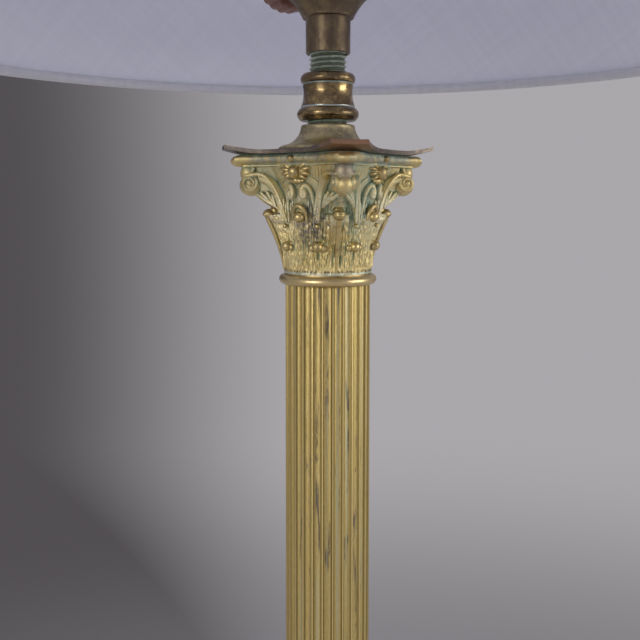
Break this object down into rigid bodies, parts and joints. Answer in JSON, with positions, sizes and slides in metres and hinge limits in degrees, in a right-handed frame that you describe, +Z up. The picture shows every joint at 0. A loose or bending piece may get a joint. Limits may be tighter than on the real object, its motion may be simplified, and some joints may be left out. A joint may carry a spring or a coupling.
{
  "type": "table lamp",
  "caption": "Table lamp with a fluted brass column, leafy capital and stepped square base, a bayonet lampholder with a side switch, and a tapered fabric shade on a wire carrier.",
  "frame": {"origin": "centre of the underside of the felt pad, on the surface that the lamp stands on", "axes": "+Z up along the column; X and Y square to the sides of the base and of the capital's abacus; the cord inlet is in the +Y side"},
  "size_m": [0.4059, 0.406, 0.6547],
  "materials": {
    "felt": "green baize, matt",
    "millboard": "matt board",
    "base_brass": "aged yellow brass, satin",
    "column_brass": "aged yellow brass with dark streaks",
    "verdigris_brass": "old gilt brass with verdigris in the hollows",
    "copper_brass": "copper-brown tarnish",
    "olive_brass": "matt olive-brown tarnish",
    "polished_brass": "polished, darkened in the grooves",
    "tarnished_brass": "dark brown tarnish, semi-gloss",
    "thread_brass": "plain brass, dull",
    "zinc_steel": "zinc plated",
    "spring_steel": "bright wire",
    "cast_iron": "rough black",
    "black_plastic": "matt",
    "porcelain": "white glaze",
    "brown_plastic": "moulded, semi-gloss",
    "bulb_aluminium": "satin",
    "black_glass": "vitrite, gloss",
    "bulb_glass": "clear",
    "clear_glass": "clear",
    "filament": "drawn wire",
    "shade_fabric": "fine woven, matt, pale inside",
    "shade_wire": "white powder coat"
  },
  "bodies": {
    "lamp": {"felt_pad": "felt", "base_cover": "millboard", "stepped_base": "base_brass", "cord_bushing": "black_plastic", "base_weight": "cast_iron", "tie_rod": "zinc_steel", "tie_washer": "zinc_steel", "tie_nut": "zinc_steel", "plinth_block": "base_brass", "column_base": "base_brass", "column_shaft": "column_brass", "astragal_ring": "column_brass", "capital": "verdigris_brass", "abacus_plate": "copper_brass", "cap_cone": "olive_brass", "adaptor_bush": "thread_brass", "coupling": "polished_brass", "upper_nipple": "thread_brass", "holder_cap": "tarnished_brass", "holder_shell": "tarnished_brass", "holder_sleeve": "thread_brass", "insulator": "porcelain", "terminal_1": "thread_brass", "terminal_2": "thread_brass", "terminal_screw_1": "zinc_steel", "terminal_screw_2": "zinc_steel", "switch_bush": "thread_brass", "switch_nut": "tarnished_brass", "switch_blade": "thread_brass", "carrier_foot": "tarnished_brass", "shade_ring": "tarnished_brass", "carrier_arm_1": "tarnished_brass", "carrier_arm_2": "tarnished_brass", "carrier_arm_3": "tarnished_brass", "carrier_arm_4": "tarnished_brass", "carrier_gallery": "tarnished_brass", "plunger_spring_1": "spring_steel", "plunger_spring_2": "spring_steel"},
    "switch": {"switch_spindle": "thread_brass", "switch_rotor": "brown_plastic", "switch_knob": "brown_plastic"},
    "bulb": {"bulb_cap": "bulb_aluminium", "bulb_contact_disc": "black_glass", "bulb_glass": "bulb_glass", "bulb_mount": "clear_glass", "bulb_filament": "filament"},
    "plunger_one": {"plunger_1": "thread_brass"},
    "plunger_two": {"plunger_2": "thread_brass"},
    "shade": {"shade_cover": "shade_fabric", "shade_lower_ring": "shade_wire", "shade_upper_ring": "shade_wire", "shade_fitter": "shade_wire", "shade_arm_1": "shade_wire", "shade_arm_2": "shade_wire", "shade_arm_3": "shade_wire"}
  },
  "joints": [
    {"name": "switch_turn", "type": "hinge", "parent": "lamp", "child": "switch", "pos_m": [0, 0, 0.4336], "axis": [-0.9063, 0.4226, 0], "range_deg": [0, 90]},
    {"name": "shade_turn", "type": "hinge", "parent": "lamp", "child": "shade", "pos_m": [0, 0, 0.6347], "axis": [0, 0, 1], "continuous": true},
    {"name": "bulb_press", "type": "slide", "parent": "lamp", "child": "bulb", "axis": [0, 0, -1], "range_m": [0, 0.0025]},
    {"name": "plunger_1_press", "type": "slide", "parent": "lamp", "child": "plunger_one", "axis": [0, 0, -1], "range_m": [0, 0.0025], "stiffness_N_per_m": 1200, "springref_m": -0.003, "deforming": ["plunger_spring_1"]},
    {"name": "plunger_2_press", "type": "slide", "parent": "lamp", "child": "plunger_two", "axis": [0, 0, -1], "range_m": [0, 0.0025], "stiffness_N_per_m": 1200, "springref_m": -0.003, "deforming": ["plunger_spring_2"]}
  ],
  "couplings": [
    {"joint": "plunger_1_press", "follows": "bulb_press", "ratio": 1},
    {"joint": "plunger_2_press", "follows": "bulb_press", "ratio": 1}
  ]
}
